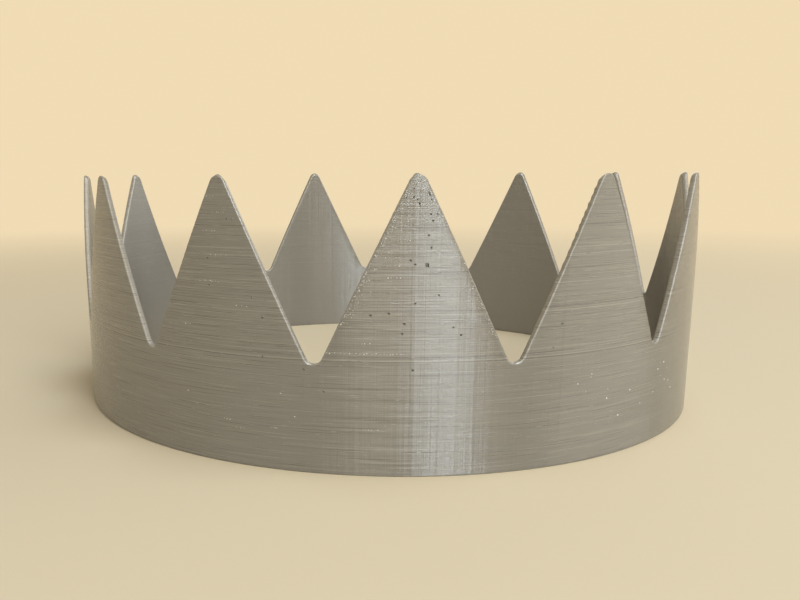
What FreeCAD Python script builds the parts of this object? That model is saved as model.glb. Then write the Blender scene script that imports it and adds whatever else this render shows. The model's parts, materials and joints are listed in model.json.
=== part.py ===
# Toy crown with pointed teeth, printed in plastic as one thin-walled piece.
# It stands on its plain rim. The origin is the centre of the rim, +Z points up and one point faces -Y.
import FreeCAD, Part
import enum
import math
import os

import Sketcher

# Driving sizes in millimetres
# The two heights run to sharp corners, as on a drawing. The roundings are cut after them.
SIZES = (
    ("outer_diameter", "180", "across the outside of the wall, to go round a grown head"),
    ("wall", "1.6", "thickness of the wall all round"),
    ("point_count", "13", "points, evenly spaced round the rim"),
    ("band_height", "21.7", "from the rim up to the sharp floor of a notch"),
    ("point_height", "45", "from the sharp floor of a notch up to the sharp top of a point"),
    ("tip_radius", "2.2", "rounding along the top of each point"),
    ("notch_radius", "2", "rounding along the floor of each notch"),
)
FULL_TURN = 360

# Formulas on the sheet that more than one feature uses
OUTER_RADIUS = "Sizes.outer_diameter / 2"
BLANK_HEIGHT = "Sizes.band_height + Sizes.point_height + Sizes.wall"
HALF_PITCH = "Sizes.outer_diameter / 2 * sin(180 deg / Sizes.point_count)"


class Datum(enum.IntEnum):
    """A sketch's own origin and upright axis, as it numbers them."""
    ORIGIN = -1
    UPRIGHT = -2


class At(enum.IntEnum):
    """The places on an edge, as a sketch numbers them."""
    START = 1
    END = 2
    CENTRE = 3


def make_sheet(document):
    """The sheet of driving sizes: name, value and meaning in one row each."""
    sheet = document.addObject("Spreadsheet::Sheet", "Sizes")
    for row, (alias, value, meaning) in enumerate(SIZES, start=1):
        sheet.set(f"A{row}", alias)
        sheet.set(f"B{row}", value)
        sheet.set(f"C{row}", meaning)
        sheet.setAlias(f"B{row}", alias)
    document.recompute()
    return sheet


def origin_feature(body, role):
    """One of the body's own origin planes or axes, found by its role."""
    for feature in body.Origin.OriginFeatures:
        if feature.Role == role:
            return feature
    raise RuntimeError(f"the body has no {role}")


def make_sketch(body, name, plane):
    """An empty sketch on one of the body's origin planes."""
    sketch = body.newObject("Sketcher::SketchObject", name)
    sketch.AttachmentSupport = [(origin_feature(body, plane), "")]
    sketch.MapMode = "FlatFace"
    return sketch


def tie(sketch, name, constraint, formula):
    """Adds a dimension to a sketch and ties it to the sheet."""
    index = sketch.addConstraint(constraint)
    sketch.renameConstraint(index, name)
    sketch.setExpression(f"Constraints.{name}", formula)


def make_blank(body, sheet):
    """The plain ring that the points are cut from, a little taller than their sharp tops."""
    outer_radius = sheet.outer_diameter / 2
    inner_radius = outer_radius - sheet.wall
    middle = FreeCAD.Vector(0, 0, 0)
    upwards = FreeCAD.Vector(0, 0, 1)
    outline = make_sketch(body, "WallOutline", "XY_Plane")
    outside = outline.addGeometry(Part.Circle(middle, upwards, outer_radius), False)
    inside = outline.addGeometry(Part.Circle(middle, upwards, inner_radius), False)
    for circle in (outside, inside):
        outline.addConstraint(Sketcher.Constraint("Coincident", circle, At.CENTRE, Datum.ORIGIN, At.START))
    tie(outline, "outer_radius", Sketcher.Constraint("Radius", outside, outer_radius), OUTER_RADIUS)
    tie(outline, "inner_radius", Sketcher.Constraint("Radius", inside, inner_radius),
        f"{OUTER_RADIUS} - Sizes.wall")
    blank = body.newObject("PartDesign::Pad", "Blank")
    blank.Profile = outline
    blank.setExpression("Length", BLANK_HEIGHT)
    return blank


def draw_notch(body, sheet):
    """The V between two points, seen from the crown's axis.

    One marker sits at the V's sharp floor. The other sits where its flank meets the next V's flank,
    at the sharp top of the point between them, half a pitch to the side.
    """
    floor = sheet.band_height
    sharp_top = floor + sheet.point_height
    blank_top = sharp_top + sheet.wall
    half_pitch = sheet.outer_diameter / 2 * math.sin(math.pi / sheet.point_count)
    slope = half_pitch / sheet.point_height
    half_angle = math.atan(slope)
    half_mouth = slope * (blank_top - floor)
    arc_height = floor + sheet.notch_radius / math.sin(half_angle)
    arc_middle = FreeCAD.Vector(0, arc_height, 0)
    touch_side = sheet.notch_radius * math.cos(half_angle)
    touch_height = arc_height - sheet.notch_radius * math.sin(half_angle)
    left_touch = FreeCAD.Vector(-touch_side, touch_height, 0)
    right_touch = FreeCAD.Vector(touch_side, touch_height, 0)
    left_top = FreeCAD.Vector(-half_mouth, blank_top, 0)
    right_top = FreeCAD.Vector(half_mouth, blank_top, 0)

    outline = make_sketch(body, "NotchOutline", "XZ_Plane")
    left = outline.addGeometry(Part.LineSegment(left_touch, left_top), False)
    mouth = outline.addGeometry(Part.LineSegment(left_top, right_top), False)
    right = outline.addGeometry(Part.LineSegment(right_top, right_touch), False)
    floor_circle = Part.Circle(arc_middle, FreeCAD.Vector(0, 0, 1), sheet.notch_radius)
    floor_arc = Part.ArcOfCircle(floor_circle, math.pi + half_angle, 2 * math.pi - half_angle)
    bottom = outline.addGeometry(floor_arc, False)
    floor_mark = outline.addGeometry(Part.Point(FreeCAD.Vector(0, floor, 0)), True)
    top_mark = outline.addGeometry(Part.Point(FreeCAD.Vector(half_pitch, sharp_top, 0)), True)

    outline.addConstraint([
        Sketcher.Constraint("Coincident", left, At.END, mouth, At.START),
        Sketcher.Constraint("Coincident", mouth, At.END, right, At.START),
        Sketcher.Constraint("Tangent", right, At.END, bottom, At.END),
        Sketcher.Constraint("Tangent", left, At.START, bottom, At.START),
        Sketcher.Constraint("Symmetric", mouth, At.START, mouth, At.END, Datum.UPRIGHT),
        Sketcher.Constraint("PointOnObject", bottom, At.CENTRE, Datum.UPRIGHT),
        Sketcher.Constraint("PointOnObject", floor_mark, At.START, Datum.UPRIGHT),
        Sketcher.Constraint("PointOnObject", floor_mark, At.START, right),
        Sketcher.Constraint("PointOnObject", top_mark, At.START, right),
    ])
    tie(outline, "floor_radius", Sketcher.Constraint("Radius", bottom, sheet.notch_radius),
        "Sizes.notch_radius")
    tie(outline, "sharp_floor",
        Sketcher.Constraint("DistanceY", Datum.ORIGIN, At.START, floor_mark, At.START, floor),
        "Sizes.band_height")
    tie(outline, "sharp_top",
        Sketcher.Constraint("DistanceY", Datum.ORIGIN, At.START, top_mark, At.START, sharp_top),
        "Sizes.band_height + Sizes.point_height")
    tie(outline, "half_pitch",
        Sketcher.Constraint("DistanceX", Datum.ORIGIN, At.START, top_mark, At.START, half_pitch),
        HALF_PITCH)
    tie(outline, "mouth_height",
        Sketcher.Constraint("DistanceY", Datum.ORIGIN, At.START, mouth, At.START, blank_top),
        BLANK_HEIGHT)
    return outline


def cut_notches(body, outline):
    """One V cut straight out from the axis through the wall, repeated once for each point."""
    first = body.newObject("PartDesign::Pocket", "Notch")
    first.Profile = outline
    first.Type = "Length"
    first.Reversed = False
    first.setExpression("Length", "Sizes.outer_diameter / 2 + Sizes.wall")
    notches = body.newObject("PartDesign::PolarPattern", "Notches")
    notches.Originals = [first]
    notches.Axis = (origin_feature(body, "Z_Axis"), [""])
    notches.Angle = FULL_TURN
    notches.setExpression("Occurrences", "Sizes.point_count")
    body.Tip = notches
    return first, notches


def ridge_names(shape, sheet):
    """The sharp ridges on top of the points: the straight edges in the upper half of their height."""
    half_way = sheet.band_height + sheet.point_height / 2
    names = []
    for number, edge in enumerate(shape.Edges, start=1):
        if edge.Curve.TypeId == "Part::GeomLine" and edge.BoundBox.ZMin > half_way:
            names.append(f"Edge{number}")
    return names


def round_tips(body, notches, sheet):
    """Each ridge rounded along its whole length."""
    rounding = body.newObject("PartDesign::Fillet", "Tips")
    rounding.Base = (notches, ridge_names(notches.Shape, sheet))
    rounding.setExpression("Radius", "Sizes.tip_radius")
    body.Tip = rounding
    return rounding


def make_crown(document, sheet):
    """The whole crown, one body and one solid."""
    body = document.addObject("PartDesign::Body", "Crown")
    body.Label = "crown"
    blank = make_blank(body, sheet)
    outline = draw_notch(body, sheet)
    document.recompute()
    first, notches = cut_notches(body, outline)
    document.recompute()
    if not notches.Shape.Volume < first.Shape.Volume < blank.Shape.Volume:
        raise RuntimeError("a notch cut nothing")
    round_tips(body, notches, sheet)
    body.Placement = FreeCAD.Placement()
    document.recompute()
    return body


def check(document, bodies):
    """Stops if a feature failed or a body is empty, broken or more than one solid."""
    for thing in document.Objects:
        if "Invalid" in thing.State or "Error" in thing.State:
            raise RuntimeError(f"{thing.Name} failed: {thing.State}")
    for body in bodies:
        shape = body.Shape
        if shape.isNull() or not shape.isValid() or len(shape.Solids) != 1:
            raise RuntimeError(f"{body.Label} is not one sound solid")


def write(bodies):
    """One STEP file for each body, named by its label."""
    os.makedirs("parts", exist_ok=True)
    for body in bodies:
        shape = body.Shape
        box = shape.BoundBox
        shape.exportStep(f"parts/{body.Label}.step")
        print(f"{body.Label}: {box.XLength:.2f} x {box.YLength:.2f} x {box.ZLength:.2f} mm,"
              f" {shape.Volume:.0f} mm3, {len(shape.Faces)} faces")


document = FreeCAD.newDocument("PointedCrown")
sizes = make_sheet(document)
pieces = [make_crown(document, sizes)]
check(document, pieces)
write(pieces)
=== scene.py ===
# %% [markdown]
# # A printed toy crown
# The crown is one thin plastic wall, laid down layer by layer by a printer's nozzle. Its solid is loaded
# first, as the frame that everything else is measured from. Nothing here moves or resizes that solid.

# %% Load the crown's solid
import json
import math
import random

import bmesh
import bpy
from mathutils import Matrix, Vector, noise
from mathutils.bvhtree import BVHTree


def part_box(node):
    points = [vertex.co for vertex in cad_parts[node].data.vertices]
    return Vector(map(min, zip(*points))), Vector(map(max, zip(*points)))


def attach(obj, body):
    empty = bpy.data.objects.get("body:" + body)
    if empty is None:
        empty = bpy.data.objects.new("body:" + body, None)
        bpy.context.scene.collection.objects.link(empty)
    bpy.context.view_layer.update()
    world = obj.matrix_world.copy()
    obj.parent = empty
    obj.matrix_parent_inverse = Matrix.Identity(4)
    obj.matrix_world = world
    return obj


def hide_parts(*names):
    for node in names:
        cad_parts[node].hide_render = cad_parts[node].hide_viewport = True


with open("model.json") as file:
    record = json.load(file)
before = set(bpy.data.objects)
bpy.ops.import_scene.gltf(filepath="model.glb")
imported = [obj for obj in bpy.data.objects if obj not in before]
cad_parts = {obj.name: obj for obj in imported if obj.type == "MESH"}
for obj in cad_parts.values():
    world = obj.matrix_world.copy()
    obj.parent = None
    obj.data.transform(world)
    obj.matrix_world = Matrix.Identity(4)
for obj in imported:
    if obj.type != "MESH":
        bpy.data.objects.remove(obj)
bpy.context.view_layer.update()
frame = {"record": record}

# %% [markdown]
# ## Sizes
# The outside radius and the height come from the solid itself, and the inside radius from the head
# opening that its record states. The points need a few sizes more, and these are the solid's own: two
# heights to sharp corners, as on a drawing, and the two roundings.

# %% Read the sizes
MM = 0.001
high_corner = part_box("crown")[1]
OUTER_RADIUS = high_corner.x
HEIGHT = high_corner.z
head_opening = next(mount for mount in frame["record"]["mounts"] if mount["name"] == "head_opening")
WALL = OUTER_RADIUS - head_opening["dims"]["r_mm"] * MM
POINTS = 13
SHARP_FLOOR = 21.7 * MM
SHARP_RISE = 45 * MM
TIP_RADIUS = 2.2 * MM
FLOOR_RADIUS = 2.0 * MM
print(f"radius {OUTER_RADIUS:.4f} m, height {HEIGHT:.4f} m, wall {WALL * 1000:.2f} mm")

# %% [markdown]
# ## The outline of a point
# A V is cut straight out between two points, and the flanks of two Vs meet in a sloping ridge, which is
# rounded. So the outline of a point is an arc at the notch floor, a straight flank and an arc at the tip.
# It could be traced from the solid's mesh, but that has only as many corners as its tolerance needs. The
# formulas below give it at any depth in the wall, with as many rows as the printed layers ask for.

# %% Angles that follow from the sizes
HALF_PITCH = math.pi / POINTS
SLOPE = OUTER_RADIUS * math.sin(HALF_PITCH) / SHARP_RISE
FLANK = math.atan(SLOPE)
RIDGE = math.atan(math.sin(HALF_PITCH) / SLOPE)
FLOOR_TURN = math.pi / 2 - FLANK
TIP_TURN = math.asin(math.cos(FLANK) * math.cos(HALF_PITCH))
FLOOR_CENTRE = SHARP_FLOOR + FLOOR_RADIUS / math.sin(FLANK)
NOTCH_FLOOR = FLOOR_CENTRE - FLOOR_RADIUS
print(f"flanks lean {math.degrees(FLANK):.2f} degrees, notches end {NOTCH_FLOOR * 1000:.2f} mm up")

# %% The outline, row by row from the notch floor to the tip
FLOOR_ROWS = 8
FLANK_ROWS = 88
TIP_ROWS = 10
EDGE_ROWS = FLOOR_ROWS + FLANK_ROWS + TIP_ROWS


def floor_outline(radius, turn):
    """A place on the notch floor's arc, as an angle from the point's middle and a height."""
    aside = FLOOR_RADIUS * math.sin(turn)
    height = FLOOR_CENTRE - FLOOR_RADIUS * math.cos(turn)
    return HALF_PITCH - math.asin(aside / radius), height


def tip_outline(radius, turn):
    """A place on the rounded ridge, counted from its top."""
    aside = TIP_RADIUS * math.sin(turn)
    outwards = math.sqrt(radius ** 2 - aside ** 2)
    ridge_middle = SHARP_FLOOR + outwards * math.tan(RIDGE) - TIP_RADIUS / math.sin(FLANK)
    return math.asin(aside / radius), ridge_middle + TIP_RADIUS * math.cos(turn) / math.cos(RIDGE)


def flank_outline(radius, share):
    """A place on the straight flank, between the two arcs."""
    start = floor_outline(radius, FLOOR_TURN)[1]
    end = tip_outline(radius, TIP_TURN)[1]
    height = start + (end - start) * share
    return HALF_PITCH - math.asin((height - SHARP_FLOOR) * SLOPE / radius), height


def outline(radius, row):
    """The angle and height of one row's edge, at a radius inside the wall."""
    if row <= FLOOR_ROWS:
        return floor_outline(radius, FLOOR_TURN * row / FLOOR_ROWS)
    if row <= FLOOR_ROWS + FLANK_ROWS:
        return flank_outline(radius, (row - FLOOR_ROWS) / FLANK_ROWS)
    return tip_outline(radius, TIP_TURN * (EDGE_ROWS - row) / TIP_ROWS)


tip_height = outline(OUTER_RADIUS, EDGE_ROWS)[1]
print(f"the tip comes out {tip_height * 1000:.2f} mm up, the solid is {HEIGHT * 1000:.2f} mm tall")

# %% [markdown]
# ## The soft edge of a printed wall
# A nozzle can't print a sharp corner: the outermost line of plastic rolls over at the flanks, and light
# catches there as a fine bright line. The wall's corner gets a real rounding for it. A bevel would fight
# with the narrow faces at the tips, so the rounding is measured inwards from the outline instead.
# The whole skin lies a few hundredths of a millimetre inside the solid, which leaves room for the layers
# and specks that stand out from it.

# %% A place near the edge of a point
SKIN = 0.07 * MM
EDGE_ROUNDING = 0.5 * MM


def edge_place(row, depth, inset):
    """A row's edge at a depth in the wall, moved into the material by the inset."""
    radius = OUTER_RADIUS - depth
    angle, height = outline(radius, row)
    along = Vector((-1, 0))
    if 0 < row < EDGE_ROWS:
        before = outline(radius, row - 1)
        after = outline(radius, row + 1)
        along = Vector((radius * (after[0] - before[0]), after[1] - before[1])).normalized()
    return angle - along.y * inset / radius, height + along.x * inset


def on_wall(angle, height, depth=0):
    """A place in the wall, by its angle from the middle of the front point, its height and its depth."""
    radius = OUTER_RADIUS - depth
    return Vector((radius * math.sin(angle), -radius * math.cos(angle), height))


middle_edge = edge_place(EDGE_ROWS // 2, 0, EDGE_ROUNDING)
print("edge of the middle row, degrees and mm:", round(math.degrees(middle_edge[0]), 2),
      round(middle_edge[1] / MM, 2))

# %% [markdown]
# ## Half a point, from four grids
# Every surface of half a point is a flat grid whose vertices are moved into place: the outside, the inside,
# the flank with its two soft corners, and the rim. The grid operator makes the faces, so only the places
# need working out. The outside has a row for every second printed layer, so that layers can be felt in
# the mesh itself, and the inside of the band makes do with fewer.

# %% Grids and their places
COLUMNS = 8
OUTSIDE_ROWS = 60
INSIDE_ROWS = 20
RIM_ROUNDING = 0.28 * MM
QUARTER_STEPS = 4


def quarter(radius):
    """The steps of a rounded corner, as pairs of depth and distance from the edge."""
    steps = []
    for step in range(QUARTER_STEPS + 1):
        turn = math.pi / 2 * step / QUARTER_STEPS
        steps.append((radius * (1 - math.cos(turn)), radius * (1 - math.sin(turn))))
    return steps


def through_wall(radius):
    """Steps from the outside to the inside, round both corners."""
    outer = [(SKIN + depth, inset) for depth, inset in quarter(radius)]
    inner = [(WALL - depth, inset) for depth, inset in reversed(quarter(radius))]
    return outer + [((SKIN + WALL) / 2, 0)] + inner


def side_place(depth, band_rows):
    """How a grid's columns and rows lie on the outside or the inside of the wall."""
    def place(column, row):
        share = column / COLUMNS
        if row <= band_rows:
            band_top = NOTCH_FLOOR - EDGE_ROUNDING
            height = RIM_ROUNDING + (band_top - RIM_ROUNDING) * row / band_rows
            return on_wall(HALF_PITCH * share, height, depth)
        angle, height = edge_place(row - band_rows, depth, EDGE_ROUNDING)
        return on_wall(angle * share, height, depth)
    return place


def flank_place(column, row):
    """How a grid's columns and rows lie on the flank, column by column through the wall."""
    depth, inset = through_wall(EDGE_ROUNDING)[column]
    angle, height = edge_place(row, depth, inset)
    return on_wall(angle, height, depth)


def rim_place(column, row):
    """How a grid's columns and rows lie under the rim, row by row through the wall."""
    depth, height = through_wall(RIM_ROUNDING)[row]
    return on_wall(HALF_PITCH * column / COLUMNS, height, depth)


def add_grid(mesh, columns, rows, place):
    """A flat grid whose vertices are then moved to their places."""
    made = bmesh.ops.create_grid(mesh, x_segments=columns, y_segments=rows, size=1)
    for vertex in made["verts"]:
        column = round((vertex.co.x + 1) / 2 * columns)
        row = round((vertex.co.y + 1) / 2 * rows)
        vertex.co = place(column, row)


wall_steps = len(through_wall(EDGE_ROUNDING)) - 1
print(f"{COLUMNS} columns, {OUTSIDE_ROWS + EDGE_ROWS} rows outside, {wall_steps} steps through the wall")

# %% [markdown]
# ## The whole wall
# Half a point is mirrored, the point is spun round the crown, and the seams are merged. One watertight
# skin comes out, which can be counted: every edge of it has exactly two faces.

# %% Build the wall
MERGE = 0.002 * MM


def everything(mesh):
    """All vertices, edges and faces, as the operators want them."""
    return mesh.verts[:] + mesh.edges[:] + mesh.faces[:]


def build_wall():
    """The crown's skin as one closed mesh, still perfectly smooth."""
    mesh = bmesh.new()
    add_grid(mesh, COLUMNS, OUTSIDE_ROWS + EDGE_ROWS, side_place(SKIN, OUTSIDE_ROWS))
    add_grid(mesh, COLUMNS, INSIDE_ROWS + EDGE_ROWS, side_place(WALL, INSIDE_ROWS))
    add_grid(mesh, wall_steps, EDGE_ROWS, flank_place)
    add_grid(mesh, COLUMNS, wall_steps, rim_place)
    bmesh.ops.mirror(mesh, geom=everything(mesh), matrix=Matrix.Identity(4), merge_dist=MERGE, axis="X")
    bmesh.ops.remove_doubles(mesh, verts=mesh.verts[:], dist=MERGE)
    bmesh.ops.spin(mesh, geom=everything(mesh), cent=(0, 0, 0), axis=(0, 0, 1), dvec=(0, 0, 0),
                   angle=2 * HALF_PITCH * (POINTS - 1), steps=POINTS - 1, use_duplicate=True)
    bmesh.ops.remove_doubles(mesh, verts=mesh.verts[:], dist=MERGE)
    bmesh.ops.recalc_face_normals(mesh, faces=mesh.faces[:])
    for face in mesh.faces:
        face.smooth = True
    return mesh


wall = build_wall()
open_edges = [edge for edge in wall.edges if len(edge.link_faces) != 2]
print(f"{len(wall.faces)} faces, {len(open_edges)} open edges, {wall.calc_volume() * 1e6:.2f} cm3")

# %% [markdown]
# ## Printed layers
# The printer laid the wall in layers about 0.2 mm thick. Most of them only give the plastic its satin
# sheen, which the material makes later. Some layers came out fuller or leaner than their neighbours, for a
# few millimetres or a few centimetres of their length, and those are seen as bright and dark lines. Painted
# alone, they would not turn with the light as the wall turns, so each one is also a low ridge or groove in
# the
# mesh: its height is a soft bell across the layer that fades at both ends. The material paints light and
# shade on them as well.

# %% Draw the strokes of fuller and leaner layers
random.seed(13)
STROKES = 2400
STROKE_WIDTH = 0.2 * MM
STROKE_RELIEF = 0.018 * MM
SHORTEST_HALF = 1.5
LONGEST_HALF = 16
RIM_CALM = 0.5 * MM
BUCKET = 0.4 * MM


def stroke(angle, height, half_length, relief):
    """One fuller or leaner layer: where its middle is, how far it reaches and how far it stands out."""
    return {"angle": angle, "height": height, "half_length": half_length, "relief": relief}


strokes = []
for _ in range(STROKES):
    angle = random.uniform(-math.pi, math.pi)
    height = random.uniform(RIM_CALM, HEIGHT)
    half_length = random.uniform(SHORTEST_HALF, LONGEST_HALF) * MM / OUTER_RADIUS
    strokes.append(stroke(angle, height, half_length, random.gauss(0, STROKE_RELIEF)))

# Layers where the printer paused or sped up run all the way round. Their heights and reliefs are in mm.
FULL_LAYERS = ((53.3, -0.03), (48.6, 0.03), (47.1, 0.02), (44.2, -0.02), (41.2, 0.02), (36.1, -0.03),
               (35.3, 0.02), (27.1, 0.03), (26.3, -0.03), (25.5, 0.04), (25.2, -0.04))
for height, relief in FULL_LAYERS:
    strokes.append(stroke(0, height * MM, 2 * math.pi, relief * MM))

buckets = {}
for one in strokes:
    middle = round(one["height"] / BUCKET)
    for bucket in (middle - 1, middle, middle + 1):
        buckets.setdefault(bucket, []).append(one)
print(len(strokes), "strokes in", len(buckets), "buckets")

# %% Press the layers into the wall
NOISE_PITCH = 0.57 * MM
NOISE_LENGTH = 14 * MM
NOISE_RELIEF = 0.012 * MM
RELIEF_MOST = 0.065 * MM
RELIEF_LEAST = -0.12 * MM
INSIDE_SHARE = 0.3


def layer_relief(angle, height):
    """How far the wall stands out at a place, from its strokes."""
    total = 0
    for one in buckets.get(round(height / BUCKET), ()):
        away = abs((angle - one["angle"] + math.pi) % (2 * math.pi) - math.pi) / one["half_length"]
        if away < 1:
            fade = 1 - away ** 4
            across = (height - one["height"]) / STROKE_WIDTH
            total += one["relief"] * fade * math.exp(-across * across)
    return total


def uneven_plastic(place):
    """A restless low relief that is stretched along the layers."""
    wave = Vector((place.x / NOISE_LENGTH, place.y / NOISE_LENGTH, place.z / NOISE_PITCH))
    return noise.noise(wave) * NOISE_RELIEF


def press_layers(mesh):
    """Moves the skin along its normals by its relief. The underside of the rim stays flat."""
    mesh.normal_update()
    moves = []
    for vertex in mesh.verts:
        place = vertex.co
        angle = math.atan2(place.x, -place.y)
        relief = uneven_plastic(place) + layer_relief(angle, place.z)
        relief = max(RELIEF_LEAST, min(RELIEF_MOST, relief))
        if place.xy.length < OUTER_RADIUS - WALL / 2:
            relief *= INSIDE_SHARE
        calm = min(1, place.z / RIM_CALM)
        moves.append(vertex.normal * relief * calm)
    for vertex, move in zip(mesh.verts, moves):
        vertex.co += move


press_layers(wall)
print("pressed", len(wall.verts), "vertices")

# %% [markdown]
# ## Lumps on the flanks
# Where the nozzle turns round at a flank it leaves a small lump, and one point's left flank has the row
# of lumps where every layer began. Each is a soft swelling of the skin, pushed out along its normals.

# %% Swell the flanks
EDGE_NOISE = 0.05 * MM
EDGE_NOISE_PITCH = 0.47 * MM
EDGE_NOISE_LENGTH = 3 * MM
LUMP_REACH = 0.6 * MM

# The row of lumps: the height and the size of each, in mm
LUMPS = ((62.2, 0.16), (60.5, 0.24), (58.9, 0.2), (57.4, 0.26), (55.7, 0.24), (54.2, 0.2), (52.9, 0.22),
         (51.2, 0.2), (49.5, 0.14), (47.6, 0.12), (44.8, 0.1), (41.0, 0.1))
# The point next to the front one, by its angle
SEAM_POINT = 2 * HALF_PITCH


def flank_angle(height, radius):
    """How far the edge of a point is from its middle at a height."""
    return HALF_PITCH - math.asin((height - SHARP_FLOOR) * SLOPE / radius)


def swell_flanks(mesh):
    """Roughens the flanks a little everywhere, and swells them at the lumps."""
    mesh.normal_update()
    depth = WALL - EDGE_ROUNDING
    lumps = []
    for height, size in LUMPS:
        angle = SEAM_POINT - flank_angle(height * MM, OUTER_RADIUS - depth)
        lumps.append((on_wall(angle, height * MM, depth), size * MM))
    moves = []
    for vertex in mesh.verts:
        place = vertex.co
        if place.z < NOTCH_FLOOR - MM:
            moves.append(None)
            continue
        outwards = Vector((place.x, place.y, 0)).normalized()
        sideways = 1 - abs(vertex.normal.dot(outwards))
        wave = Vector((place.x / EDGE_NOISE_LENGTH, place.y / EDGE_NOISE_LENGTH,
                       place.z / EDGE_NOISE_PITCH))
        push = noise.noise(wave) * EDGE_NOISE * sideways
        for centre, size in lumps:
            away = (place - centre).length / LUMP_REACH
            if away < 2:
                push += size * math.exp(-away * away)
        moves.append(vertex.normal * push)
    for vertex, move in zip(mesh.verts, moves):
        if move:
            vertex.co += move


swell_flanks(wall)
print("swelled", len(LUMPS), "lumps")

# %% [markdown]
# ## Pits
# A bubble in the plastic leaves a pit with a thin lip. Two cuts fence off a small patch of the skin, and
# the patch is inset and pushed in a few times. A wide pit takes two rows of faces. The patch's border is
# marked sharp, so the big faces round it stay evenly lit.

# %% Pits, by their angle from the front point's middle, their height and their width
# How far each step is inset and pushed out, and the width of a two-row pit's lower limit, all in mm
PIT_STEPS = ((0.07, 0.05), (0.07, -0.18), (0.04, -0.4))
TWO_ROWS = 0.65

# How much room a pit needs on its faces, and how far it stays from their ends, as shares of its width
PIT_ROOM = 1.2
PIT_MARGIN = 0.55

# A pit's face is found by a ray that starts outside the wall
RAY_START = 5 * MM
RAY_REACH = 8 * MM
FACING = 0.9
PITS = ((-0.4, 61.9, 0.4), (-0.6, 61.2, 0.4), (-1.5, 59.3, 0.5), (-0.7, 59.5, 0.5), (-0.1, 59.0, 0.5),
        (0.2, 58.2, 0.5), (1.3, 60.3, 0.4), (1.5, 59.6, 0.45), (1.8, 58.8, 0.4), (1.6, 56.0, 0.5),
        (2.5, 56.0, 0.4), (1.9, 54.5, 0.45), (1.4, 51.8, 0.4), (1.8, 49.2, 0.45), (-0.9, 46.7, 0.45),
        (-0.3, 45.7, 0.5), (1.4, 45.2, 0.8), (-3.6, 35.5, 0.6), (-1.6, 33.5, 0.6), (-1.9, 31.3, 0.6),
        (-0.2, 37.9, 0.5), (3.0, 39.5, 0.45), (5.0, 32.6, 0.5), (6.0, 31.1, 0.6), (-0.4, 23.8, 0.55),
        (-12.2, 18.7, 0.6), (-15.1, 23.3, 0.5), (-30.2, 56.5, 0.4), (-26.2, 54.5, 0.4),
        (-25.3, 54.6, 0.4), (-29.5, 46.1, 0.5), (-29.4, 40.5, 0.45), (-22.5, 38.1, 0.45),
        (-21.0, 34.0, 0.6), (-36.4, 30.6, 0.45), (-21.1, 25.5, 0.45), (20.8, 32.1, 0.6),
        (19.6, 27.1, 0.45), (-6.0, 35.2, 0.6))


def fenced_patch(mesh, face, angle, width):
    """The patch of a face that is left between two upright cuts."""
    pieces = [face]
    fences = []
    for side in (-1, 1):
        cut_angle = angle + side * width / 2 / OUTER_RADIUS
        across = Vector((math.cos(cut_angle), math.sin(cut_angle), 0))
        edges = {edge for piece in pieces for edge in piece.edges}
        corners = {corner for piece in pieces for corner in piece.verts}
        cut = bmesh.ops.bisect_plane(mesh, geom=pieces + list(edges) + list(corners), dist=MERGE / 20,
                                     plane_co=on_wall(cut_angle, 0), plane_no=across)
        fence = next(part for part in cut["geom_cut"] if isinstance(part, bmesh.types.BMEdge))
        fences.append(fence)
        pieces = list(fence.link_faces)
    return next(piece for piece in fences[0].link_faces if piece in fences[1].link_faces[:])


def face_above(face):
    """The neighbour across a face's highest edge."""
    top = max(face.edges, key=lambda edge: (edge.verts[0].co + edge.verts[1].co).z)
    return next(other for other in top.link_faces if other != face)


def face_turns(face):
    """The angles of a face's corners round the crown."""
    return [math.atan2(corner.co.x, -corner.co.y) for corner in face.verts]


def pit_patch(mesh, face, angle, width):
    """A patch of a face, or of two faces one above the other, kept clear of their ends."""
    faces = [face]
    if width > TWO_ROWS * MM:
        faces.append(face_above(face))
    lowest = max(min(face_turns(one)) for one in faces)
    highest = min(max(face_turns(one)) for one in faces)
    if (highest - lowest) * OUTER_RADIUS < width * PIT_ROOM:
        return face
    margin = width * PIT_MARGIN / OUTER_RADIUS
    angle = max(lowest + margin, min(highest - margin, angle))
    patches = [fenced_patch(mesh, one, angle, width) for one in faces]
    if len(patches) == 1:
        return patches[0]
    return bmesh.ops.dissolve_faces(mesh, faces=patches)["region"][0]


def press_pits(mesh, places):
    """Finds each pit's face from outside and presses the pits that are on different faces."""
    mesh.normal_update()
    mesh.faces.ensure_lookup_table()
    skin = BVHTree.FromBMesh(mesh)
    found = {}
    for angle, height, width in places:
        start = on_wall(math.radians(angle), height * MM, -RAY_START)
        inwards = Vector((-start.x, -start.y, 0)).normalized()
        index = skin.ray_cast(start, inwards, RAY_REACH)[2]
        if index is not None and mesh.faces[index].normal.dot(inwards) < -FACING:
            found.setdefault(index, (angle, width))
    chosen = [(mesh.faces[index], angle, width) for index, (angle, width) in found.items()]
    pressed = 0
    for face, angle, width in chosen:
        if not face.is_valid:
            continue
        patch = pit_patch(mesh, face, math.radians(angle), width * MM)
        for edge in patch.edges:
            edge.smooth = False
        for inset, push in PIT_STEPS:
            bmesh.ops.inset_individual(mesh, faces=[patch], thickness=inset * MM, depth=push * MM)
        pressed += 1
    return pressed


print("pressed", press_pits(wall, PITS), "pits")

# %% Finish the piece
crown_mesh = bpy.data.meshes.new("printed_wall")
wall.to_mesh(crown_mesh)
wall.free()
crown = bpy.data.objects.new("printed_wall", crown_mesh)
bpy.context.scene.collection.objects.link(crown)
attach(crown, "root")
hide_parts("crown")
crown_mesh.calc_loop_triangles()
print("the wall has", len(crown_mesh.loop_triangles), "triangles")
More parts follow.
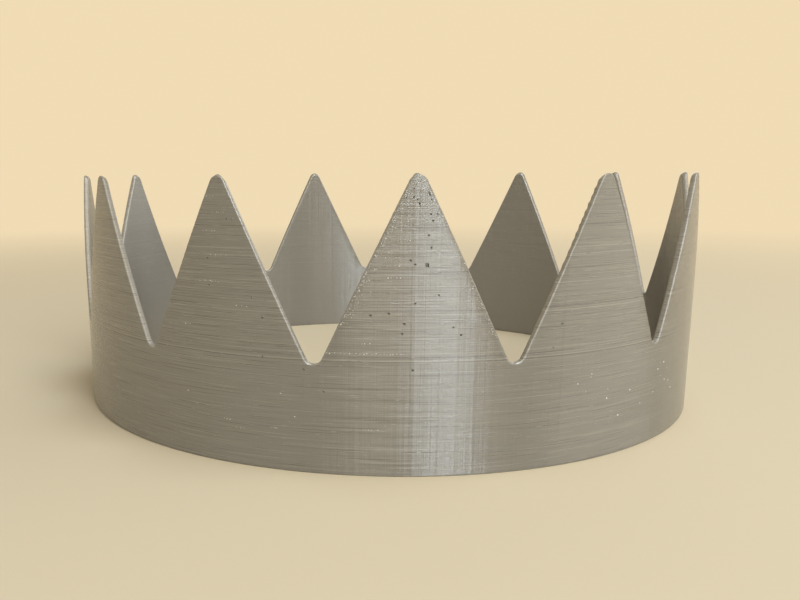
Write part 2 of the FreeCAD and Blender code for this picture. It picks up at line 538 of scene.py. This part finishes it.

# %% [markdown]
# ## Drops
# The nozzle also dragged small drops of plastic along, and they stuck to the wall as round specks. Their
# glint is painted into their colour. They are small spheres, pressed flatter and sunk into the wall. Most
# of them sit near the flanks of the front point, some lie in short rows along a layer, and a few are strewn
# over the band on the right.

# %% Strew the drops
# Single drops by angle, height and radius, and rows of drops by first angle, last angle and height
DROPS = ((14.6, 19.1, 0.2), (24.1, 18.3, 0.24), (25.7, 16.2, 0.26), (26.1, 16.1, 0.22),
         (26.6, 20.1, 0.2), (42.9, 17.5, 0.24), (44.9, 18.7, 0.22), (30.0, 15.9, 0.18),
         (35.1, 14.5, 0.22), (48.4, 11.3, 0.24), (47.2, 13.5, 0.24), (29.9, 13.8, 0.2),
         (38.0, 10.5, 0.22), (32.6, 9.1, 0.26), (9.3, 18.5, 0.18), (26.5, 19.4, 0.17),
         (44.0, 15.6, 0.17), (46.2, 17.0, 0.18), (-18.5, 17.5, 0.18), (-6.2, 7.1, 0.16),
         (43.5, 18.9, 0.15), (45.6, 14.2, 0.16), (41.8, 12.2, 0.14), (-16.5, 12.5, 0.15),
         (-34.0, 15.4, 0.15))
DROP_ROWS = ((-4.5, -0.7, 45.5), (-3.8, -1.6, 43.0), (-7.2, -5.8, 29.2), (-11.9, -1.5, 27.0),
             (-6.7, -4.7, 10.4), (-4.9, -2.2, 47.2), (-2.6, -0.9, 50.6), (-29.4, -28.1, 59.4),
             (-29.3, -26.6, 56.1), (-30.2, -27.5, 52.2), (-29.0, -26.2, 47.0), (-31.0, -27.8, 41.2),
             (-25.0, -23.2, 36.2), (-34.0, -32.8, 31.1), (-27.5, -25.5, 10.3), (-25.5, -23.6, 8.6),
             (-20.0, -18.6, 9.6))
ROW_WANDER = 0.05
ROW_RADIUS = (0.07, 0.13)
ROW_GAP = (0.25, 0.9)
drops = []
for angle, height, radius in DROPS:
    drops.append((math.radians(angle), height * MM, radius * MM))
for start, end, height in DROP_ROWS:
    angle = start
    while angle < end:
        drops.append((math.radians(angle), (height + random.gauss(0, ROW_WANDER)) * MM,
                      random.uniform(*ROW_RADIUS) * MM))
        angle += random.uniform(*ROW_GAP)
print(len(drops), "drops on the band and in rows")

# %% Strew more along the front point's flanks
LEFT_DROPS = 240
LEFT_START = 33
RIGHT_DROPS = 80
RIGHT_START = 30
FLANK_END = 61
FLANK_INSET = 0.45
FLANK_REACH = 0.6
FLANK_RADIUS = (0.06, 0.13)


def flank_drop(side, start):
    """A drop near the front point's left (-1) or right (1) flank, above the start height in mm."""
    height = random.uniform(start, FLANK_END) * MM
    inset = (FLANK_INSET + random.expovariate(1 / FLANK_REACH)) * MM
    angle = side * max(0, flank_angle(height, OUTER_RADIUS) - inset / OUTER_RADIUS)
    return angle, height, random.uniform(*FLANK_RADIUS) * MM


for _ in range(LEFT_DROPS):
    drops.append(flank_drop(-1, LEFT_START))
for _ in range(RIGHT_DROPS):
    drops.append(flank_drop(1, RIGHT_START))
print(len(drops), "drops with those along the flanks")

# %% Make the drops
DROP_SHAPE = (1.15, 0.8, 0.9, 1)
DROP_SINK = 0.25

beads = bmesh.new()
for angle, height, radius in drops:
    flatten = Matrix.Diagonal(DROP_SHAPE)
    place = Matrix.Translation(on_wall(angle, height, SKIN + radius * DROP_SINK))
    bmesh.ops.create_icosphere(beads, subdivisions=2, radius=radius,
                               matrix=place @ Matrix.Rotation(angle, 4, "Z") @ flatten)
for face in beads.faces:
    face.smooth = True
drop_mesh = bpy.data.meshes.new("nozzle_drops")
beads.to_mesh(drop_mesh)
beads.free()
nozzle_drops = bpy.data.objects.new("nozzle_drops", drop_mesh)
bpy.context.scene.collection.objects.link(nozzle_drops)
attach(nozzle_drops, "root")
print(len(drops), "drops,", len(drop_mesh.polygons), "faces")

# %% [markdown]
# ## Satin silver plastic
# The filament is grey, with fine metal flakes that give it a satin sheen. Its layers are too fine to see
# one by one, but they scatter light up and down and hardly sideways, so a lamp shows as a tall bright band.
# That is an anisotropic gloss whose stretched direction is upright. A Tangent node gives the direction
# round the crown, and a quarter turn makes it upright.

# %% The plastic
silver = bpy.data.materials.new("satin silver plastic")
silver.use_nodes = True
tree = silver.node_tree
shader = tree.nodes["Principled BSDF"]
shader.inputs["Roughness"].default_value = 0.2
shader.inputs["Metallic"].default_value = 0.3
shader.inputs["Specular IOR Level"].default_value = 1
shader.inputs["Anisotropic"].default_value = 1
shader.inputs["Anisotropic Rotation"].default_value = 0.25


def node(kind, **settings):
    """A new node in the material that is being made, with its settings."""
    made = tree.nodes.new(kind)
    for name, value in settings.items():
        setattr(made, name, value)
    return made


def feed(socket, value):
    """Gives a socket a number, or another node's output."""
    if isinstance(value, (int, float)):
        socket.default_value = value
    else:
        tree.links.new(value, socket)


def calculate(operation, *values):
    """A math node whose inputs are numbers or other nodes' outputs."""
    made = node("ShaderNodeMath", operation=operation)
    for socket, value in zip(made.inputs, values):
        feed(socket, value)
    return made.outputs[0]


def smooth_range(value, start, end):
    """0 before start and 1 after end, with a smooth step between them."""
    made = node("ShaderNodeMapRange", interpolation_type="SMOOTHSTEP")
    feed(made.inputs["Value"], value)
    feed(made.inputs["From Min"], start)
    feed(made.inputs["From Max"], end)
    return made.outputs[0]


tangent = node("ShaderNodeTangent", direction_type="RADIAL", axis="Z")
feed(shader.inputs["Tangent"], tangent.outputs[0])
crown_mesh.materials.append(silver)
print(silver.name, "covers", crown.name)

# %% Where on the crown
where = node("ShaderNodeTexCoord").outputs["Object"]
split = node("ShaderNodeSeparateXYZ")
feed(split.inputs[0], where)
x_place, y_place, z_place = split.outputs
round_place = calculate("ARCTAN2", x_place, calculate("MULTIPLY", y_place, -1))
print("the material knows", [place.name for place in split.outputs], "and the angle round the crown")


def stretched_noise(length, height, detail, roughness, offset=0):
    """A noise that changes over one length round the crown and another up it."""
    mapping = node("ShaderNodeMapping")
    mapping.inputs["Scale"].default_value = (1 / length, 1 / length, 1 / height)
    mapping.inputs["Location"].default_value = (offset, offset, offset)
    feed(mapping.inputs["Vector"], where)
    made = node("ShaderNodeTexNoise")
    made.inputs["Scale"].default_value = 1
    made.inputs["Detail"].default_value = detail
    made.inputs["Roughness"].default_value = roughness
    feed(made.inputs["Vector"], mapping.outputs[0])
    return made.outputs["Fac"]


# %% [markdown]
# ## Layers, flats and streaks
# Each layer is a low bulge between two grooves, so the wall spreads light upwards and downwards. Some
# layers are fuller or leaner for a few millimetres of their length, and show as thin bright and dark lines,
# from their relief and from light and shade painted into their colour.
# There are more of those on the points, where each layer is short and had less time to settle. A printed
# circle is also a polygon of short flats. The distance to the nearest of many scattered angles gives them:
# squared and divided by twice the radius, it is the relief of flats that touch the circle at those angles.
# The flats and fine upright streaks break up the edges of the highlight. The inside is calmer.

# %% Layers that are fuller or leaner
LAYER = 0.2 * MM
LAYER_JUMP = 7.31
NOISE_DETAIL = 1.5
POINTS_RANGE = (20 * MM, 34 * MM)
ON_BAND = 0.35
ON_INSIDE = 0.15
LINE_MIDDLE = 0.1
LINE_HALF = 0.5
LINE_PAINTED_LIGHT = 1.25
LINE_PAINTED_SHADE = -0.45
layer_count = calculate("DIVIDE", z_place, LAYER)
layer_number = calculate("FLOOR", layer_count)
across_layer = calculate("MULTIPLY_ADD", calculate("FRACT", layer_count), 2.0, -1.0)
bulge = calculate("SUBTRACT", 1.0, calculate("POWER", across_layer, 2.0))
from_axis = calculate("SQRT", calculate("ADD", calculate("POWER", x_place, 2.0),
                                        calculate("POWER", y_place, 2.0)))
outside = smooth_range(from_axis, OUTER_RADIUS - WALL + 0.1 * MM, OUTER_RADIUS - WALL / 2)
on_points = calculate("MULTIPLY_ADD", smooth_range(z_place, *POINTS_RANGE), 1 - ON_BAND, ON_BAND)
on_outside = calculate("MULTIPLY_ADD", outside, 1 - ON_INSIDE, ON_INSIDE)
unsettled = calculate("MULTIPLY", on_points, on_outside)
# Across a layer, its upper part is painted lighter and its foot darker: painted light and shade, as on a
# ridge lit from above.
line_core = calculate("COMPARE", across_layer, LINE_MIDDLE, LINE_HALF)
lit_top_shaded_foot = calculate("MULTIPLY_ADD", line_core, LINE_PAINTED_LIGHT - LINE_PAINTED_SHADE, LINE_PAINTED_SHADE)


def layer_noise(length, seed):
    """A noise that changes along each layer, and has nothing to do with the layers beside it."""
    joined = node("ShaderNodeCombineXYZ")
    feed(joined.inputs[0], calculate("DIVIDE", x_place, length))
    feed(joined.inputs[1], calculate("DIVIDE", y_place, length))
    feed(joined.inputs[2], calculate("MULTIPLY_ADD", layer_number, LAYER_JUMP, seed))
    made = node("ShaderNodeTexNoise")
    made.inputs["Scale"].default_value = 1
    made.inputs["Detail"].default_value = NOISE_DETAIL
    feed(made.inputs["Vector"], joined.outputs[0])
    return made.outputs["Fac"]


print("layers of", round(LAYER / MM, 2), "mm:", round(HEIGHT / LAYER), "of them")

# %% Short dashes, long full lines and lean layers
DASH_LENGTH = 3 * MM
DASH_RANGE = (0.66, 0.71)
DASH_STRENGTH = 1.8
TOP_RANGE = (40 * MM, 62 * MM)
TOP_BOOST = 0.06
LINE_LENGTH = 22 * MM
LINE_RANGE = (0.56, 0.68)
LINE_STRENGTH = 0.7
LEAN_LENGTH = 20 * MM
LEAN_RANGE = (0.42, 0.3)
dash_noise = layer_noise(DASH_LENGTH, seed=3.0)
dash_noise = calculate("MULTIPLY_ADD", smooth_range(z_place, *TOP_RANGE), TOP_BOOST, dash_noise)
dashes = calculate("MULTIPLY", smooth_range(dash_noise, *DASH_RANGE), DASH_STRENGTH)
line_noise = layer_noise(LINE_LENGTH, seed=91.0)
full_lines = calculate("MULTIPLY", smooth_range(line_noise, *LINE_RANGE), LINE_STRENGTH)
full_layers = calculate("MULTIPLY", calculate("MAXIMUM", dashes, full_lines), unsettled)
lean_noise = layer_noise(LEAN_LENGTH, seed=55.0)
lean_layers = calculate("MULTIPLY", smooth_range(lean_noise, *LEAN_RANGE), unsettled)
uneven = calculate("SUBTRACT", layer_noise(LEAN_LENGTH, seed=21.0), 0.5)
print(len(tree.nodes), "nodes so far")

# %% How far the wall faces outwards
SIDE_RANGE = (0.55, 0.98)
wall_facing = node("ShaderNodeNewGeometry").outputs["Normal"]
flat_place = node("ShaderNodeCombineXYZ")
feed(flat_place.inputs[0], x_place)
feed(flat_place.inputs[1], y_place)
outwards = node("ShaderNodeVectorMath", operation="NORMALIZE")
feed(outwards.inputs[0], flat_place.outputs[0])
turned_out = node("ShaderNodeVectorMath", operation="DOT_PRODUCT")
feed(turned_out.inputs[0], wall_facing)
feed(turned_out.inputs[1], outwards.outputs[0])
on_side = smooth_range(calculate("ABSOLUTE", turned_out.outputs["Value"]), *SIDE_RANGE)
print("the flanks end where the facing passes", SIDE_RANGE)

# %% Relief of the wall, in millimetres
PLAIN_RELIEF = 0.047
UNEVEN_RELIEF = 0.07
FULLER = 0.015
LEANER = -0.02
FLANK_SHARE = 0.2
STREAK_RELIEF = 0.05
FINE_RELIEF = 0.012
FLAT = 2.6 * MM
flats = node("ShaderNodeTexVoronoi", voronoi_dimensions="1D", feature="F1")
flats.inputs["Scale"].default_value = 1
feed(flats.inputs["W"], calculate("MULTIPLY", round_place, OUTER_RADIUS / FLAT))
off_centre = calculate("MULTIPLY", flats.outputs["Distance"], FLAT / MM)
flat_relief = calculate("MULTIPLY", calculate("POWER", off_centre, 2.0), MM / (2 * OUTER_RADIUS))
streaks = stretched_noise(0.8 * MM, 60 * MM, detail=2, roughness=0.6)
fine_streaks = stretched_noise(0.35 * MM, 30 * MM, detail=0, roughness=0.5, offset=20)
relief_mm = calculate("MULTIPLY_ADD", calculate("MULTIPLY", uneven, outside), UNEVEN_RELIEF, PLAIN_RELIEF)
relief_mm = calculate("MULTIPLY_ADD", full_layers, FULLER, relief_mm)
relief_mm = calculate("MULTIPLY_ADD", lean_layers, LEANER, relief_mm)
relief_mm = calculate("MULTIPLY", relief_mm, bulge)
side_share = calculate("MULTIPLY_ADD", on_side, 1 - FLANK_SHARE, FLANK_SHARE)
relief_mm = calculate("MULTIPLY", relief_mm, side_share)
relief_mm = calculate("MULTIPLY_ADD", streaks, STREAK_RELIEF, relief_mm)
fine_relief = calculate("MULTIPLY", outside, FINE_RELIEF)
relief_mm = calculate("MULTIPLY_ADD", fine_streaks, fine_relief, relief_mm)
relief_mm = calculate("ADD", relief_mm, flat_relief)
bump = node("ShaderNodeBump")
bump.inputs["Strength"].default_value = 1
bump.inputs["Distance"].default_value = MM
feed(bump.inputs["Height"], relief_mm)
feed(shader.inputs["Normal"], bump.outputs[0])
print("flats of about", round(FLAT / MM, 1), "mm, layers", PLAIN_RELIEF, "mm deep")

# %% Colour of the layers, with painted light and shade
DARK_SILVER = (0.122, 0.118, 0.106, 1)
LIGHT_SILVER = (0.384, 0.374, 0.346, 1)
MIDDLE_TONE = 0.5
UNEVEN_TONE = 0.75
CORNER_HIGHLIGHT_TONE = 1.6
FULLER_LIGHT_AND_SHADE = 1.5
LEANER_LIGHT_AND_SHADE = -1.1
LINE_REACH = 0.11 * MM

# Painted light and shade on the layers that run all the way round, lighter on the fuller ones and darker on
# the leaner ones: the height of each in mm, and how much lighter or darker it is
PAINTED_ROUND_LINES = ((53.3, -0.3), (48.6, 0.3), (47.1, 0.2), (44.2, -0.2), (41.2, 0.2), (36.1, -0.3),
              (35.3, 0.3), (27.1, 0.3), (26.3, -0.3), (25.5, 0.5), (25.2, -0.5))
tone = calculate("MULTIPLY_ADD", uneven, calculate("MULTIPLY", unsettled, UNEVEN_TONE), MIDDLE_TONE)
# Painted highlight: the rounded corners between the outside and the flanks are painted lighter.
corner = calculate("MULTIPLY", on_side, calculate("SUBTRACT", 1.0, on_side))
tone = calculate("MULTIPLY_ADD", corner, CORNER_HIGHLIGHT_TONE, tone)
# Painted light and shade on the fuller layers, and turned round on the leaner ones, whose top is painted
# darker.
tone = calculate("MULTIPLY_ADD", calculate("MULTIPLY", full_layers, lit_top_shaded_foot), FULLER_LIGHT_AND_SHADE, tone)
tone = calculate("MULTIPLY_ADD", calculate("MULTIPLY", lean_layers, lit_top_shaded_foot), LEANER_LIGHT_AND_SHADE, tone)
# Painted light and shade: each round line is painted lighter on a fuller layer and darker on a leaner one.
for height, strength in PAINTED_ROUND_LINES:
    on_line = calculate("COMPARE", z_place, height * MM, LINE_REACH)
    tone = calculate("MULTIPLY_ADD", calculate("MULTIPLY", on_line, unsettled), strength, tone)
colours = node("ShaderNodeValToRGB")
feed(colours.inputs[0], tone)
colours.color_ramp.elements[0].color = DARK_SILVER
colours.color_ramp.elements[1].color = LIGHT_SILVER
feed(shader.inputs["Base Color"], colours.outputs[0])
print(silver.name, "is done, with", len(tree.nodes), "nodes")

# %% [markdown]
# ## Bright drops
# ## Drops with a painted glint
# The drops' glint is painted into their colour: they have a material of their own, lighter and rougher than
# the wall's, whose colour a noise mottles from dark grey to near white.

# %% The drops' material
DARK_DROP = (0.16, 0.155, 0.14, 1)
DROP_GLINT_COLOUR = (0.76, 0.75, 0.72, 1)
glint_painted_drop = bpy.data.materials.new("drops with painted glint")
glint_painted_drop.use_nodes = True
tree = glint_painted_drop.node_tree
drop_shader = tree.nodes["Principled BSDF"]
drop_shader.inputs["Roughness"].default_value = 0.35
drop_noise = node("ShaderNodeTexNoise")
drop_noise.inputs["Scale"].default_value = 900
feed(drop_noise.inputs["Vector"], node("ShaderNodeTexCoord").outputs["Object"])
# Painted glint: the drops are painted near white, mottled with dark grey.
drop_glint_ramp = node("ShaderNodeValToRGB")
drop_glint_ramp.color_ramp.elements[0].position = 0.3
drop_glint_ramp.color_ramp.elements[0].color = DARK_DROP
drop_glint_ramp.color_ramp.elements[1].position = 0.65
drop_glint_ramp.color_ramp.elements[1].color = DROP_GLINT_COLOUR
feed(drop_glint_ramp.inputs[0], drop_noise.outputs["Fac"])
feed(drop_shader.inputs["Base Color"], drop_glint_ramp.outputs[0])
drop_mesh.materials.append(glint_painted_drop)
print(glint_painted_drop.name, "cover", nozzle_drops.name)

# %% [markdown]
# ## The studio
# The floor and the backdrop are one pale round sweep, which starts to rise early and gently, so no horizon
# shows from any side. Near the crown it is a plain lit floor that takes the shadow. Further out, what the
# camera and reflections see fades into one even pale colour, while the light it gives stays as it is.

# %% The sweep
SWEEP_FLAT = 1.0
SWEEP_ROUND = 2.0
SWEEP_STEPS = 16
SWEEP_SIDES = 96
SWEEP_MERGE = 0.0001
sweep = bmesh.new()
profile = [(0, 0), (0.3, 0), (0.6, 0), (SWEEP_FLAT, 0)]
for step in range(1, SWEEP_STEPS + 1):
    bend = math.pi / 2 * step / SWEEP_STEPS
    profile.append((SWEEP_FLAT + SWEEP_ROUND * math.sin(bend), SWEEP_ROUND * (1 - math.cos(bend))))
corners = [sweep.verts.new((radius, 0, height)) for radius, height in profile]
for start, end in zip(corners, corners[1:]):
    sweep.edges.new((start, end))
bmesh.ops.spin(sweep, geom=sweep.verts[:] + sweep.edges[:], cent=(0, 0, 0), axis=(0, 0, 1), dvec=(0, 0, 0),
               angle=2 * math.pi, steps=SWEEP_SIDES, use_merge=True)
bmesh.ops.remove_doubles(sweep, verts=sweep.verts[:], dist=SWEEP_MERGE)
bmesh.ops.recalc_face_normals(sweep, faces=sweep.faces[:])
flattest = min(sweep.faces, key=lambda face: face.calc_center_median().length)
if flattest.normal.z < 0:
    bmesh.ops.reverse_faces(sweep, faces=sweep.faces[:])
for face in sweep.faces:
    face.smooth = True
sweep_mesh = bpy.data.meshes.new("studio_sweep")
sweep.to_mesh(sweep_mesh)
sweep.free()
studio = bpy.data.objects.new("studio_sweep", sweep_mesh)
bpy.context.scene.collection.objects.link(studio)
print("sweep of", len(sweep_mesh.polygons), "faces")

# %% Its material
FLOOR_COLOUR = (0.71, 0.61, 0.43, 1)
BACKDROP_COLOUR = (0.87, 0.71, 0.46, 1)
FADE_RANGE = (0.15, 0.8)


def seen_or_mirrored():
    """1 for what the camera, a reflection or a refraction sees, and 0 for light that a surface gives."""
    path = node("ShaderNodeLightPath").outputs
    seen = calculate("MAXIMUM", path["Is Camera Ray"], path["Is Glossy Ray"])
    return calculate("MAXIMUM", seen, path["Is Transmission Ray"])


pale = bpy.data.materials.new("pale sweep")
pale.use_nodes = True
tree = pale.node_tree
floor_shader = tree.nodes["Principled BSDF"]
floor_shader.inputs["Base Color"].default_value = FLOOR_COLOUR
floor_shader.inputs["Roughness"].default_value = 0.9
far = node("ShaderNodeVectorMath", operation="LENGTH")
feed(far.inputs[0], node("ShaderNodeTexCoord").outputs["Object"])
fade = smooth_range(far.outputs["Value"], *FADE_RANGE)
glow = node("ShaderNodeEmission")
glow.inputs["Color"].default_value = BACKDROP_COLOUR
blend = node("ShaderNodeMixShader")
feed(blend.inputs[0], calculate("MULTIPLY", fade, seen_or_mirrored()))
feed(blend.inputs[1], floor_shader.outputs[0])
feed(blend.inputs[2], glow.outputs[0])
feed(tree.nodes["Material Output"].inputs["Surface"], blend.outputs[0])
sweep_mesh.materials.append(pale)
print("the floor fades out between", FADE_RANGE[0], "and", FADE_RANGE[1], "m from the crown")

# %% [markdown]
# ## Light
# A wide softbox stands to the right of the camera, a little above the crown. Its bright middle and dimmer
# surround are two lamps, which is what makes the highlight step down on both sides. A large warm one above
# them lights the front softly. Another hangs overhead and picks out the sloping flanks. Two weaker ones
# fill the right side and line the flanks from behind. The world adds an even light.

# %% The world
world = bpy.data.worlds.new("studio")
bpy.context.scene.world = world
world.use_nodes = True
tree = world.node_tree
even_light = tree.nodes["Background"]
even_light.inputs["Color"].default_value = (1, 0.97, 0.92, 1)
even_light.inputs["Strength"].default_value = 0.32
world_seen = node("ShaderNodeBackground")
world_seen.inputs["Color"].default_value = BACKDROP_COLOUR
world_mix = node("ShaderNodeMixShader")
feed(world_mix.inputs[0], seen_or_mirrored())
feed(world_mix.inputs[1], even_light.outputs[0])
feed(world_mix.inputs[2], world_seen.outputs[0])
feed(tree.nodes["World Output"].inputs["Surface"], world_mix.outputs[0])
print("even light of", round(even_light.inputs["Strength"].default_value, 2))

# %% Lamps
LOOK_AT = Vector((0, 0, 0.03))
COOL = (0.78, 0.89, 1)
WARM = (1, 0.93, 0.82)

# Each lamp: its name, degrees round the crown, degrees above the floor, distance, width and height in
# metres, power in watts and colour
LAMPS = (("key middle", 23.2, 20, 1.3, 0.22, 0.5, 1.8, COOL),
         ("key surround", 23.8, 20, 1.3, 0.5, 0.6, 5.2, COOL),
         ("front", 25, 55, 1.5, 1.2, 0.8, 8, WARM),
         ("overhead", 60, 80, 1.3, 0.6, 0.6, 5, COOL),
         ("right", 85, 20, 1.5, 1.2, 0.8, 3.5, WARM),
         ("rim", 150, 22, 1.3, 0.6, 0.5, 1.5, COOL))


def softbox(name, turn, rise, distance, width, height, power, colour):
    """A softbox that looks at the crown from an angle round it and an angle above the floor."""
    lamp_data = bpy.data.lights.new(name, "AREA")
    lamp_data.shape = "RECTANGLE"
    lamp_data.size = width
    lamp_data.size_y = height
    lamp_data.energy = power
    lamp_data.color = colour
    lamp = bpy.data.objects.new(name, lamp_data)
    round_crown = math.radians(turn)
    above_floor = math.radians(rise)
    lamp.location = (distance * math.sin(round_crown) * math.cos(above_floor),
                     -distance * math.cos(round_crown) * math.cos(above_floor),
                     distance * math.sin(above_floor))
    lamp.rotation_euler = (LOOK_AT - lamp.location).to_track_quat("-Z", "Y").to_euler()
    lamp.visible_camera = False
    bpy.context.scene.collection.objects.link(lamp)


for settings in LAMPS:
    softbox(*settings)
print(len(LAMPS), "softboxes")

# %% [markdown]
# ## The camera
# It stands low and close, a little left of the front point. Its place, its turns, its lens and its shift
# were fitted to the crown's outline in the photo.

# %% Camera
LOOK_DOWN = math.radians(11.2405)
TURN = math.radians(0.1503)
ROLL = math.radians(-0.3461)
camera_data = bpy.data.cameras.new("photo_view")
camera_data.sensor_width = 36
camera_data.lens = 35.915
camera_data.shift_x = 0.0996
camera_data.shift_y = 0.0386
camera_data.clip_start = 0.01
camera = bpy.data.objects.new("photo_view", camera_data)
camera.location = (-0.02031, -0.25191, 0.06433)
camera.matrix_world = (Matrix.Translation(camera.location) @ Matrix.Rotation(-TURN, 4, "Z")
                       @ Matrix.Rotation(math.pi / 2 - LOOK_DOWN, 4, "X") @ Matrix.Rotation(ROLL, 4, "Z"))
bpy.context.scene.collection.objects.link(camera)
bpy.context.scene.camera = camera
bpy.context.scene.view_settings.view_transform = "Standard"
print("camera of", round(camera_data.lens, 1), "mm,", round(camera.location.length, 3), "m from the origin")
